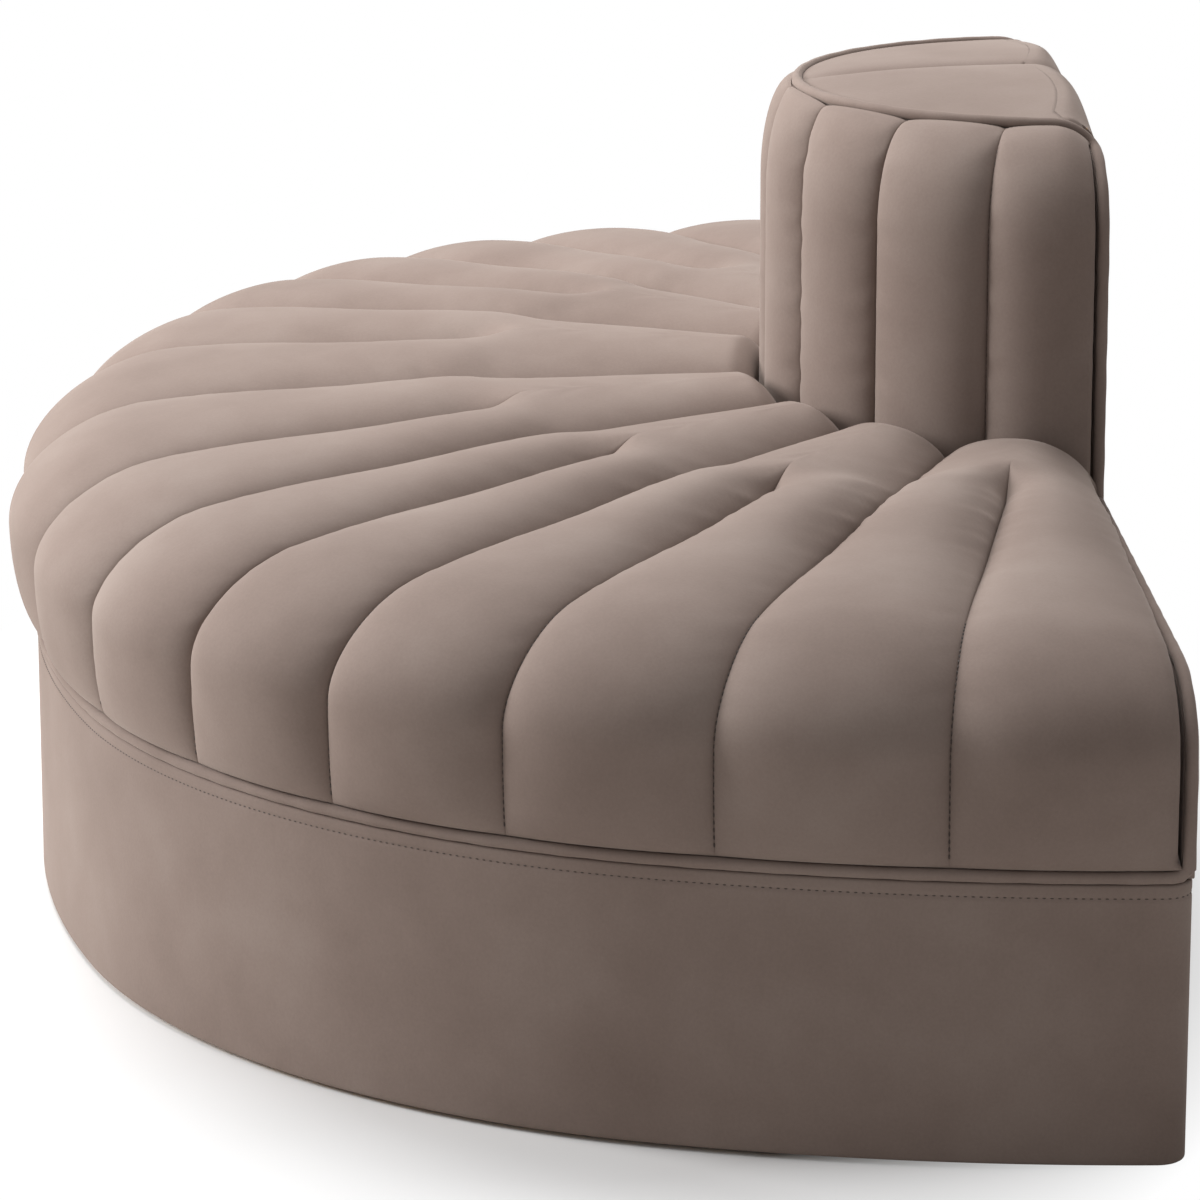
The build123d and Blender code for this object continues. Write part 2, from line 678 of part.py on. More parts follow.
def all_nodes():
    """Every node of both modules, with the fan's axis at the back."""
    nodes = {}
    for name, build in SHARED_NODES.items():
        solids = as_solids(build())
        nodes[f"right_{name}"] = solids
        nodes[f"left_{name}"] = [solid.mirror(Plane.YZ) for solid in solids]
    nodes["right_base_side_panel"] = as_solids(base_side_panel(PIN_DIAMETER + 2 * PANEL_HOLE_CLEARANCE))
    left_panel = base_side_panel(PIN_DIAMETER + 2 * PIN_CLEARANCE)
    nodes["left_base_side_panel"] = [solid.mirror(Plane.YZ) for solid in as_solids(left_panel)]
    nodes["right_connector_sockets"] = as_solids(connector_sockets())
    nodes["left_connector_pins"] = as_solids(connector_pins())
    return nodes


def main():
    """Centre the sofa on its footprint and write one file for each node."""
    os.makedirs("parts", exist_ok=True)
    nodes = all_nodes()
    box = Compound([solid for solids in nodes.values() for solid in solids]).bounding_box()
    shift = Pos(0, -(box.min.Y + box.max.Y) / 2, 0)
    for name, solids in nodes.items():
        export_step(shift * Compound(solids), f"parts/{name}.step")
    print("size", box.size, "shift in y", shift.position.Y, "side arc", SIDE_ARC_R, "turn", degrees(TANGENT_ANGLE))


if __name__ == "__main__":
    main()
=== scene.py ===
"""Dresses the half-round channelled sofa: velvet plinth, fan seat, backrest, welts and stitches.

Lengths are metres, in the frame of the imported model: +X towards the right module, +Y towards the flat back.
"""

import json
import logging
from dataclasses import dataclass, replace
from enum import Enum
from math import atan2, pi, sqrt

import bmesh
import bpy
import numpy as np
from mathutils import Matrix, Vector


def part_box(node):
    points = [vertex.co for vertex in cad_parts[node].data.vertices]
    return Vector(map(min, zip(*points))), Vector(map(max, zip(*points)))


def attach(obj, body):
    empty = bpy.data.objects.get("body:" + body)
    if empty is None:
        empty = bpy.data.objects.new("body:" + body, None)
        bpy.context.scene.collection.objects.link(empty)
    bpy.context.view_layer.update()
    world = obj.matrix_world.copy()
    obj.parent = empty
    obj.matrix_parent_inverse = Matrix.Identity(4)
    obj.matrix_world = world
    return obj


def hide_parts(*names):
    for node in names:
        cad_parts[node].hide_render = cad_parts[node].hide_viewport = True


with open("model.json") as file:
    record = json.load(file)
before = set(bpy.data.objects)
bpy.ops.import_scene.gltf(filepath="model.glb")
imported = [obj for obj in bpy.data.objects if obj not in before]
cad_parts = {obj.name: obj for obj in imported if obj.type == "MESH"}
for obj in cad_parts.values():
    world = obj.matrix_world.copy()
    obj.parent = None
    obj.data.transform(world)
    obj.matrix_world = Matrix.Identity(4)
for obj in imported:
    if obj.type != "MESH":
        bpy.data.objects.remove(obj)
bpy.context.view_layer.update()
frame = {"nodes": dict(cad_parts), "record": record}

logging.basicConfig(level=logging.INFO, format="%(message)s")
LOG = logging.getLogger("sofa")

Array = np.ndarray
Point = tuple[float, float, float]
Faces = list[tuple[int, ...]]
Material = bpy.types.Material
Object = bpy.types.Object
Socket = bpy.types.NodeSocket
Tree = bpy.types.NodeTree

MM = 0.001
# Faces that meet at more than this angle keep a crisp edge: deep seams and the square edges of panels
SHARP_ANGLE = pi / 3
# The ends of the soft pads stand this far proud of the plywood on the mating face, so that they nearly meet
CUT_END_STAND = 0.6 * MM
# Points nearer to each other than this are one point
WELD_DISTANCE = 1e-6
# Least length that a vector is divided by
TINY = 1e-12
# A section point on the stuffed surface of the seat and of the backrest, clear of their edges
MIDDLE_POINT = 30
# Powers that shape a stuffed channel: of its flanks and of its whole section
ARCH_FLANK_POWER = 2.1
ARCH_POWER = 0.6
# A ripple's first wave is offset by this many times its phase, and each further wave by one more
FIRST_WAVE_OFFSET = 1.7
UPWARD = (0.0, 0.0, 1.0)


class Module(Enum):
    """One of the two mirrored quarter modules, with the sign of its x."""

    RIGHT = 1
    LEFT = -1

    @property
    def word(self) -> str:
        """First word of the names of this module's nodes."""
        return self.name.lower()

    @property
    def body(self) -> str:
        """Name of the body that this module's pieces ride on."""
        return f"{self.word}_module"


def linear(hex_colour: str) -> tuple[float, float, float, float]:
    """Turns an sRGB hex colour into linear values.

    Args:
        hex_colour: Six hex digits.

    Returns:
        Red, green, blue and an alpha of 1.
    """
    shares = [int(hex_colour[i : i + 2], 16) / 255 for i in (0, 2, 4)]
    red, green, blue = (s / 12.92 if s <= 0.04045 else ((s + 0.055) / 1.055) ** 2.4 for s in shares)
    return red, green, blue, 1.0


def add_node(tree: Tree, kind: str, settings: dict, links: dict) -> bpy.types.Node:
    """Adds a node with its settings and its incoming links.

    Args:
        tree: Node tree to add to.
        kind: Node type, without the ShaderNode prefix.
        settings: Attributes, or input values where the key names an input.
        links: Input name to the output socket that feeds it.

    Returns:
        The new node.
    """
    node = tree.nodes.new(f"ShaderNode{kind}")
    for key, value in settings.items():
        if isinstance(key, str) and hasattr(node, key):
            setattr(node, key, value)
        else:
            node.inputs[key].default_value = value
    for key, socket in links.items():
        tree.links.new(socket, node.inputs[key])
    return node


def object_place(tree: Tree) -> Socket:
    """Adds a socket that gives the place on the object."""
    return add_node(tree, "TexCoord", {}, {}).outputs["Object"]


def blank_material(name: str) -> tuple[Material, Tree, Socket]:
    """Makes an empty node material.

    Args:
        name: Name of the material.

    Returns:
        The material, its node tree and the input that its shader goes into.
    """
    material = bpy.data.materials.new(name)
    material.use_nodes = True
    tree = material.node_tree
    tree.nodes.clear()
    return material, tree, add_node(tree, "OutputMaterial", {}, {}).inputs["Surface"]


def add_noise(tree: Tree, place: Socket, size_mm: float, layers: tuple[float, float]) -> Socket:
    """Adds a noise texture with features of about this size, and gives the socket with its value."""
    settings = {"Scale": 1 / (size_mm * MM), "Detail": layers[0], "Roughness": layers[1]}
    return add_node(tree, "TexNoise", settings, {"Vector": place}).outputs["Fac"]


@dataclass(frozen=True)
class Finish:
    """Colours mixed by a stretched noise, with a fine bump: wood, thread, plastic, steel, cloth or velvet."""

    name: str
    dark: str
    light: str
    grain_mm: float
    stretch: Point
    roughness: float
    metallic: float = 0.0
    bump_mm: float = 0.1
    bump_strength: float = 0.4
    # Places of both colours on the ramp, and further colours with theirs
    ends: tuple[float, float] = (0.35, 0.65)
    between: tuple[tuple[float, str], ...] = ()
    # Number of finer layers of the noise, and the strength of each next one
    layers: tuple[float, float] = (5.0, 0.6)
    # Wide patches that a share of the grain is added to, if any
    patches_mm: float = 0.0
    patch_layers: tuple[float, float] = (5.0, 0.55)
    grain_share: float = 0.3
    specular: float = 0.5
    sheen: float = 0.0
    sheen_roughness: float = 0.5
    sheen_tint: str = "ffffff"

    def make(self) -> Material:
        """Builds the finish."""
        material, tree, surface = blank_material(self.name)
        place = object_place(tree)
        stretched = add_node(tree, "Mapping", {"Scale": self.stretch}, {"Vector": place}).outputs["Vector"]
        grain = tone = add_noise(tree, stretched, self.grain_mm, self.layers)
        if self.patches_mm:
            patches = add_noise(tree, place, self.patches_mm, self.patch_layers)
            mixing = {"operation": "MULTIPLY_ADD", 1: self.grain_share}
            tone = add_node(tree, "Math", mixing, {0: grain, 2: patches}).outputs["Value"]
        ramp = add_node(tree, "ValToRGB", {}, {"Fac": tone})
        elements = ramp.color_ramp.elements
        for element, position, colour in zip(elements, self.ends, (self.dark, self.light)):
            element.position = position
            element.color = linear(colour)
        for position, colour in self.between:
            elements.new(position).color = linear(colour)
        relief = {"Strength": self.bump_strength, "Distance": self.bump_mm * MM}
        bump = add_node(tree, "Bump", relief, {"Height": grain})
        settings = {
            "Roughness": self.roughness,
            "Metallic": self.metallic,
            "Specular IOR Level": self.specular,
            "Sheen Weight": self.sheen,
            "Sheen Roughness": self.sheen_roughness,
            "Sheen Tint": linear(self.sheen_tint),
        }
        links = {"Base Color": ramp.outputs["Color"], "Normal": bump.outputs["Normal"]}
        shader = add_node(tree, "BsdfPrincipled", settings, links)
        tree.links.new(shader.outputs["BSDF"], surface)
        return material


EVEN = (1.0, 1.0, 1.0)
# Cut-pile polyester velvet is matte, with brushed patches and a soft pale sheen at grazing angles. Its real
# pile is 0.4 mm, too fine to show, so it is drawn 3 mm wide
VELVET = Finish(
    "taupe_cut_pile_velvet", "7d6d65", "8f8078", 3.0, EVEN, 0.88, bump_mm=0.22, bump_strength=0.5,
    ends=(0.4, 0.9), between=((0.64, "86766e"),), layers=(3.0, 0.65), patches_mm=150.0,
    specular=0.25, sheen=0.3, sheen_roughness=0.42, sheen_tint="d2c6be",
)
# Bonded polyester thread, a shade under the velvet, reads as a dark dotted line
THREAD = Finish("bonded_polyester_thread", "3b312c", "4a3e38", 1.2, EVEN, 0.6)
SOLID_FINISHES = {
    # Birch plywood shows long pale grain along the sheet
    "plywood": Finish("birch_plywood", "b48a5a", "d2ae7e", 9.0, (0.15, 0.15, 1.0), 0.62),
    # Bonded fibre cloth is dull black with a fine random mat
    "dust_cloth": Finish("black_nonwoven_cloth", "141414", "232323", 3.0, EVEN, 0.95),
    # Moulded polypropylene is dark and faintly pebbled
    "glide_plastic": Finish("moulded_polypropylene", "151515", "1f1f1f", 2.0, EVEN, 0.5, 0.0, 0.05),
    # Zinc plate is grey with a faint brushed haze
    "zinc_steel": Finish("zinc_plated_steel", "8e9092", "b4b6b8", 4.0, (1.0, 1.0, 0.2), 0.38, 1.0, 0.02),
}


def joined(*parts: Array) -> Array:
    """Joins arrays row by row."""
    return np.concatenate(parts, axis=1)


def tube_faces(rings: int, around: int) -> Faces:
    """Faces of rings of points joined in order and filled at both ends.

    Args:
        rings: Number of rings.
        around: Points in each ring.

    Returns:
        Vertex numbers of each face.
    """
    ring = range(around)
    last = (rings - 1) * around
    faces: Faces = []
    for base in range(0, last, around):
        for j in ring:
            k = (j + 1) % around
            faces.append((base + j, base + k, base + around + k, base + around + j))
    return [*faces, tuple(ring), tuple(last + j for j in ring)]


def moved_out(grid: Array, move: Array | float, facing: Array | Point) -> Array:
    """Moves the points of a grid along its normals.

    Args:
        grid: Rows of points.
        move: Distance for each point, or for all.
        facing: Direction that the middle points face, for each row or for all.

    Returns:
        The moved points.
    """
    normal = np.cross(np.gradient(grid, axis=0), np.gradient(grid, axis=1))
    normal /= np.maximum(np.linalg.norm(normal, axis=2, keepdims=True), TINY)
    outward = np.sign(np.sum(normal[:, MIDDLE_POINT] * facing))
    return grid + normal * (outward * move)[..., None]


def resample(path: Array, spacing: float) -> Array:
    """Points of a polyline at an even spacing, its ends kept.

    Args:
        path: Rows of points.
        spacing: About the distance between the new points.

    Returns:
        The new points.
    """
    lengths = np.concatenate([[0.0], np.cumsum(np.linalg.norm(np.diff(path, axis=0), axis=1))])
    count = max(int(lengths[-1] / spacing), 2)
    even = np.linspace(0.0, lengths[-1], count + 1)
    return np.stack([np.interp(even, lengths, path[:, k]) for k in range(3)], axis=1)


def bent_softly(path: Array, reach: float) -> Array:
    """Rounds the corners of a polyline, its ends kept.

    Args:
        path: Rows of points.
        reach: Length over which a corner is spread, each way.

    Returns:
        Close points of the rounded path.
    """
    step = 2 * MM
    count = int(reach / step)
    ends = ((count, count), (0, 0))
    padded = np.pad(resample(path, step), ends, mode="reflect", reflect_type="odd")
    weights = np.full(2 * count + 1, 1 / (2 * count + 1))
    return np.stack([np.convolve(padded[:, k], weights, mode="valid") for k in range(3)], axis=1)


def headings(path: Array) -> Array:
    """Unit directions along a path, one for each of its points."""
    ahead = np.gradient(path, axis=0)
    return ahead / np.linalg.norm(ahead, axis=1, keepdims=True)


def unit_rings(path: Array, up: Array, sides: int) -> Array:
    """Unit vectors all round a path, square to it.

    Args:
        path: Rows of points.
        up: Direction that is nowhere along the path, for each point or for all.
        sides: Vectors in each ring.

    Returns:
        One row of vectors for each point.
    """
    ahead = headings(path)
    sideways = np.cross(ahead, up)
    sideways /= np.linalg.norm(sideways, axis=1, keepdims=True)
    upward = np.cross(sideways, ahead)
    turn = np.linspace(0, 2 * pi, sides, endpoint=False)[:, None]
    return np.cos(turn) * sideways[:, None] + np.sin(turn) * upward[:, None]


def bend(start: tuple, end: tuple, count: int) -> Array:
    """Points of a quarter ellipse in a plane, or of one for each row.

    Args:
        start: First point, left along the second axis.
        end: Last point, reached along the first axis.
        count: Number of points.

    Returns:
        The points, with two coordinates in the last axis.
    """
    turn = np.linspace(0.0, pi / 2, count)
    first = end[0] + (start[0] - end[0]) * np.cos(turn)
    second = start[1] + (end[1] - start[1]) * np.sin(turn)
    return np.stack(np.broadcast_arrays(first, second), axis=-1)


def rounded_off(depth: Array, radius: float) -> Array:
    """How far a round edge draws a surface in, at depths from the edge."""
    left = radius - np.clip(depth, 0.0, radius)
    return radius - np.sqrt(radius**2 - left**2)


def smoothstep(low: float, high: float, value: Array) -> Array:
    """Smooth change from 0 at low to 1 at high."""
    share = np.clip((value - low) / (high - low), 0.0, 1.0)
    return share * share * (3 - 2 * share)


def ripple(position: Array, waves_mm: tuple[float, ...], phase: Array | float) -> Array:
    """Sum of sines along a length, within about one unit each way.

    Args:
        position: Length along the surface.
        waves_mm: Wavelengths.
        phase: Offset for each row, or for all.

    Returns:
        The wavy height.
    """
    total = np.zeros_like(position)
    for order, wave in enumerate(waves_mm):
        total += np.sin(2 * pi * position / (wave * MM) + phase * (FIRST_WAVE_OFFSET + order))
    return total / len(waves_mm)


@dataclass(frozen=True)
class Stitching:
    """A lockstitch seam: short threads in line, each dipping into the cloth at its ends."""

    pitch: float = 6.5 * MM
    length: float = 4.2 * MM
    thread: float = 1.5 * MM
    sides: int = 6
    # Shares of a thread's length, each with its share of the thickness
    stations: tuple = ((-0.5, 0.25), (-0.3, 0.85), (0.0, 1.0), (0.3, 0.85), (0.5, 0.25))
    # Upward share from which a thread is steep, and directions that no flat or no steep thread has
    steep: float = 0.9
    beside_flat: Point = (0.31, 0.17, 0.93)
    beside_steep: Point = (1.0, 0.2, 0.0)

    def threads(self, paths: list[Array]) -> tuple[Array, Faces]:
        """Lays threads along paths.

        Args:
            paths: Polylines on the cloth.

        Returns:
            Rows of points, and vertex numbers of each face.
        """
        along, width = np.array(self.stations).T[:, :, None, None]
        rows: list[Array] = []
        for path in paths:
            points = resample(path, self.pitch)
            ahead = headings(points)
            beside = np.where(np.abs(ahead[:, 2:]) < self.steep, self.beside_flat, self.beside_steep)
            rings = unit_rings(points, beside, self.sides)
            spine = points[:, None, None] + ahead[:, None, None] * (self.length * along)
            rows.append((spine + rings[:, None] * (self.thread / 2 * width)).reshape(-1, 3))
        vertices = np.concatenate(rows)
        template = tube_faces(len(self.stations), self.sides)
        bases = range(0, len(vertices), len(self.stations) * self.sides)
        return vertices, [tuple(base + number for number in face) for base in bases for face in template]


@dataclass(frozen=True)
class Welt:
    """Self-covered piping: a round cord in velvet with slight swelling along it."""

    diameter: float = 11 * MM
    # Air beside it
    clearance: float = 0.4 * MM
    sides: int = 14
    swell: float = 0.25 * MM
    swell_waves_mm: tuple[float, ...] = (61.0, 37.0)
    swell_phase: float = 0.4
    spacing: float = 7 * MM

    def rings(self, path: Array, up: Point = UPWARD, axis: Array | None = None) -> Array:
        """Runs the welt along a path.

        Args:
            path: Points of its centre line.
            up: Direction that is nowhere along the path.
            axis: Plan of an upright axis that the path goes round; directions away from it then replace up.

        Returns:
            One row of points for each ring.
        """
        points = resample(path, self.spacing)
        away = np.array(up) if axis is None else (points - np.append(axis, 0.0)) * (1.0, 1.0, 0.0)
        length = np.arange(len(points)) * self.spacing
        radius = self.diameter / 2 + self.swell * ripple(length, self.swell_waves_mm, self.swell_phase)
        return points[:, None] + radius[:, None, None] * unit_rings(points, away, self.sides)


@dataclass(frozen=True)
class Upholstery:
    """Cloth and thread of one module, which makes and dresses its soft pieces."""

    side: Module
    velvet: Material
    thread: Material

    def piece(self, name: str, points: Array, faces: Faces, finish: Material, nodes: tuple = ()) -> Object:
        """Makes a smooth-shaded piece with its finish, its body and the nodes that it stands for.

        Args:
            name: Its name, without the module's word.
            points: Rows of points of the right module, which the left one mirrors.
            faces: Vertex numbers of each face.
            finish: Its material.
            nodes: Names of the solids that it replaces, without the module's word.

        Returns:
            The new piece.
        """
        mesh = bpy.data.meshes.new(f"{self.side.word}_{name}")
        mesh.from_pydata((points * (self.side.value, 1, 1)).tolist(), [], faces)
        shape = bmesh.new()
        shape.from_mesh(mesh)
        bmesh.ops.remove_doubles(shape, verts=shape.verts, dist=WELD_DISTANCE)
        bmesh.ops.recalc_face_normals(shape, faces=shape.faces)
        shape.to_mesh(mesh)
        shape.free()
        for polygon in mesh.polygons:
            polygon.use_smooth = True
        mesh.set_sharp_from_angle(angle=SHARP_ANGLE)
        mesh.materials.append(finish)
        piece = bpy.data.objects.new(mesh.name, mesh)
        bpy.context.collection.objects.link(piece)
        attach(piece, self.side.body)
        if nodes:
            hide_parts(*(f"{self.side.word}_{node}" for node in nodes))
        LOG.info("%s: %d faces", piece.name, len(mesh.polygons))
        return piece

    def cloth(self, name: str, grid: Array, *nodes: str) -> Object:
        """Makes a closed velvet piece of rings of points, in place of some solids."""
        return self.piece(name, grid.reshape(-1, 3), tube_faces(*grid.shape[:2]), self.velvet, nodes)

    def stitches(self, name: str, stitching: Stitching, paths: list[Array]) -> None:
        """Sews threads along paths."""
        self.piece(name, *stitching.threads(paths), self.thread)


@dataclass(frozen=True)
class Plan:
    """Outline of the right module's plinth: a side arc, a fuller shoulder arc and a front arc."""

    half_width: float
    back_y: float
    mating_x: float
    diagonal_swell: float = 57 * MM
    shoulder_arc_drop: float = 255 * MM
    rear_corner: float = 26 * MM
    back_pad: float = 12 * MM

    def arcs(self) -> list[tuple[tuple[float, float], float, float, float]]:
        """Centre, radius, first and last angle of each arc, from the rear corner to the front."""
        shoulder_r = self.half_width - self.shoulder_arc_drop
        middle = (self.half_width + self.diagonal_swell - shoulder_r) / sqrt(2)
        rest = self.half_width - middle
        side_r = (rest**2 + middle**2 - shoulder_r**2) / (2 * (rest - shoulder_r))
        side = self.half_width - side_r
        turn = atan2(middle, middle - side)
        return [
            ((side, 0.0), side_r, 0.0, turn),
            ((middle, -middle), shoulder_r, turn, pi / 2 - turn),
            ((0.0, -side), side_r, pi / 2 - turn, pi / 2),
        ]

    def rim(self, shares: Array, inset: float = 0.0) -> Array:
        """Points of the outline in plan.

        Args:
            shares: Shares of the outline's length, from the rear corner to the front centre.
            inset: Distance to draw the outline in.

        Returns:
            One row of x and y for each share.
        """
        arcs = self.arcs()
        lengths = [radius * (last - first) for _, radius, first, last in arcs]
        starts = np.concatenate([[0.0], np.cumsum(lengths)])
        points = np.zeros((len(shares), 2))
        for i, left in enumerate(np.asarray(shares) * starts[-1]):
            number = min(int(np.searchsorted(starts, left, side="right")) - 1, len(arcs) - 1)
            (cx, cy), radius, first, _ = arcs[number]
            angle = first + (left - starts[number]) / radius
            points[i] = cx + (radius - inset) * np.cos(angle), cy - (radius - inset) * np.sin(angle)
        points[:, 1] += self.back_y
        points[:, 0] = np.maximum(points[:, 0], self.mating_x)
        return points

    @property
    def fan(self) -> Array:
        """The fan's upright axis in plan."""
        return np.array([self.mating_x, self.back_y - self.back_pad])

    @property
    def rear_welt_y(self) -> float:
        """Place of the welts along the back."""
        return self.back_y - Welt.diameter / 2 - Welt.clearance

    def around(self, direction: Array, reach: Array, height: Array) -> Array:
        """Points round the fan's axis.

        Args:
            direction: Unit directions in plan, one row each.
            reach: Distances from the axis, for each direction or for all.
            height: Heights for each direction.

        Returns:
            One row of points for each direction.
        """
        flat = self.fan + reach[..., None] * direction[:, None, :]
        return np.concatenate([flat, height[..., None]], axis=2)


def arch(share: Array) -> Array:
    """Height of a stuffed channel across its width: 0 in both seams and 1 on its crest."""
    return np.clip(1 - np.abs(2 * share - 1) ** ARCH_FLANK_POWER, 0.0, 1.0) ** ARCH_POWER


def channel_places(channels: int, columns: int) -> Array:
    """Places across a row of channels, in channels from the rear edge, closer together near each seam.

    Args:
        channels: Number of channels.
        columns: Places in each channel.

    Returns:
        The places in one column, from 0 to the number of channels; whole numbers are seams.
    """
    within = 0.5 - 0.5 * np.cos(pi * np.arange(columns) / columns)
    places = np.append(np.concatenate([i + within for i in range(channels)]), float(channels))
    return places[:, None]


def directions_at(angle: Array) -> Array:
    """Unit directions in plan at a column of angles from the back plane."""
    return joined(np.cos(angle), -np.sin(angle))


@dataclass(frozen=True)
class Puckers:
    """Small folds in the cloth beside the seams between channels."""

    reach: float
    # Strip along a seam that the stitches hold flat
    flat: float
    waves_mm: tuple[float, ...]
    phase: float

    def folds(self, places: Array, channels: int, reach: Array, length: Array) -> Array:
        """Heights of the folds, within about one unit each way.

        Args:
            places: Column of the rows' places, in channels.
            channels: Number of channels.
            reach: Distances from the fan's axis.
            length: Lengths along the seams.

        Returns:
            The height at each point.
        """
        seam = np.round(places)
        away = np.abs(places - seam) / channels * (pi / 2) * reach
        near = np.exp(-((away / self.reach) ** 2)) * (1 - np.exp(-((away / self.flat) ** 2)))
        return near * ripple(length, self.waves_mm, self.phase * seam)


@dataclass(frozen=True)
class Ellipse:
    """Plan of the backrest's crests: half an ellipse round the fan's axis."""

    half_width: float = 358 * MM
    depth: float = 292 * MM

    def reach(self, angle: Array) -> Array:
        """Distance from the axis, at angles from the back plane."""
        across = np.hypot(self.depth * np.cos(angle), self.half_width * np.sin(angle))
        return self.half_width * self.depth / across


@dataclass(frozen=True)
class FanSeat:
    """The channelled seat of one module, from the welt over the rolled rim to the backrest."""

    plan: Plan
    deck_top: float
    seat_top: float
    backrest: Ellipse
    channels: int = 8
    columns: int = 34
    seam_crowding: float = 0.58
    channel_depth: float = 31 * MM
    shoulder_depth: float = 15 * MM
    deepening_share: float = 0.4
    crown: float = 48 * MM
    dome_power: float = 2.6
    rim_bulge: float = 26 * MM
    seam_bulge: float = 1 * MM
    bulge_height: float = 104 * MM
    crest_roll: float = 135 * MM
    seam_roll: float = 108 * MM
    rear_drop: float = 14 * MM
    notch: float = 11.8 * MM
    lip: float = 3 * MM
    rear_dart_end: float = 535 * MM
    dart_end: float = 608 * MM
    # Channels between which the darts' ends move out
    dart_shift: tuple[float, float] = (1.0, 3.0)
    dart_ramp: float = 62 * MM
    backrest_gap: float = 3 * MM
    inner_roll: float = 30 * MM
    rear_round: float = 13 * MM
    puckers: Puckers = Puckers(26 * MM, 5 * MM, (38.0, 23.0, 61.0), 2.1)
    pucker: float = 1.6 * MM
    rim_pucker_share: float = 0.3
    dart_pucker_spread: float = 95 * MM
    sag: float = 1.2 * MM
    sag_waves_mm: tuple[float, ...] = (330.0, 210.0)
    sag_phase: float = 1.3
    thread_stand: float = 1.2 * MM
    # Section points that the welt hides, and those between which stitches show
    hidden_points: int = 3
    stitched: tuple[int, int] = (4, 44)

    def places(self) -> Array:
        """Column of the rows' places, in channels from the rear edge."""
        return channel_places(self.channels, self.columns)

    def directions(self) -> tuple[Array, Array]:
        """Directions of the rows from the fan's axis, with the channels wider towards the front.

        Returns:
            Unit directions in plan, and distances to the rim.
        """
        turn = self.places() / self.channels
        shares = turn - self.seam_crowding * turn**3 * (1 - turn)
        rim = self.plan.rim(shares[:, 0]) - self.plan.fan
        rim[0, 1] = 0.0
        rim[:, 1] = np.minimum(rim[:, 1], 0.0)
        reach = np.linalg.norm(rim, axis=1, keepdims=True)
        return rim / reach, reach

    def tops(self) -> tuple[Array, Array, Array]:
        """Heights of the top, for each row. Only every second seam reaches the backrest.

        Returns:
            The heights at the rim's shoulder and at the backrest, and the share of the crown.
        """
        places = self.places()
        pair_fill = arch(places / 2 % 1)
        rear_edge = self.seat_top - self.rear_drop
        outer_low = np.where(places < 0.5, rear_edge, self.seat_top - self.shoulder_depth)
        outer = outer_low + (self.seat_top - outer_low) * arch(places % 1)
        inner_low = np.where(places < 1, rear_edge, self.seat_top - self.channel_depth + self.crown)
        inner = inner_low + (self.seat_top + self.crown - inner_low) * pair_fill
        return outer, inner, np.where(places < 1, pair_fill, 1.0)

    def sections(self) -> tuple[Array, Array, Array]:
        """Sections of the seat, one in each row.

        Returns:
            Reach and height of each point, and 1 where the surface is stuffed.
        """
        direction, reach = self.directions()
        places = self.places()
        outer = arch(places % 1)
        top, inner_top, crowned = self.tops()
        inner_reach = self.backrest.reach(np.arctan2(-direction[:, 1:], direction[:, :1])) + self.backrest_gap
        widest = reach + self.seam_bulge + (self.rim_bulge - self.seam_bulge) * outer
        roll = self.seam_roll + (self.crest_roll - self.seam_roll) * outer
        middle = self.deck_top + self.bulge_height
        lip_z = self.deck_top + self.notch
        rim = bend((lip_z, reach - self.lip), (middle, widest), count=14)
        total = widest - inner_reach - self.inner_roll
        over = bend((0.0, 0.0), (roll, 1.0), count=30)[:, 1:]
        along = np.linspace(0.0, 1.0, num=74)[1:]
        inward = joined(over[..., 0], roll + (total - roll) * along)
        lift = np.ones_like(inward)
        lift[:, : over.shape[1]] = over[..., 1]
        top_r = widest - inward
        shifted = smoothstep(*self.dart_shift, places)
        dart_end = self.rear_dart_end + (self.dart_end - self.rear_dart_end) * shifted
        open_seam = smoothstep(0.0, self.dart_ramp, top_r - dart_end + self.dart_ramp)
        dome = self.crown * crowned * (1 - np.clip(1 - inward / total, 0.0, 1.0) ** self.dome_power)
        deeper = (self.channel_depth - self.shoulder_depth) * (1 - outer) * (places >= 0.5)
        deeper = deeper * smoothstep(0.0, self.deepening_share, (inward - roll) / (total - roll))
        surface = (top + dome - deeper) * open_seam + inner_top * (1 - open_seam)
        top_z = middle + (surface - middle) * lift
        end = top_z[:, -1:]
        down_to = (end - self.inner_roll, inner_reach)
        down = bend((end, inner_reach + self.inner_roll), down_to, count=9)[:, 1:]
        wall_z = self.deck_top + (down[:, -1:, 0] - self.deck_top) * np.linspace(0.66, 0.0, num=4)
        under_r = joined(reach / 2, reach - self.notch, reach - self.notch)
        under_z = np.array([self.deck_top, self.deck_top, lip_z]) + 0 * reach
        r = joined(rim[..., 1], top_r, down[..., 1], inner_reach + 0 * wall_z, under_r)
        z = joined(rim[..., 0], top_z, down[..., 0], wall_z, under_z)
        stuffed = np.zeros_like(r)
        stuffed[:, self.hidden_points : rim.shape[1] + top_r.shape[1]] = 1.0
        return r, z, stuffed

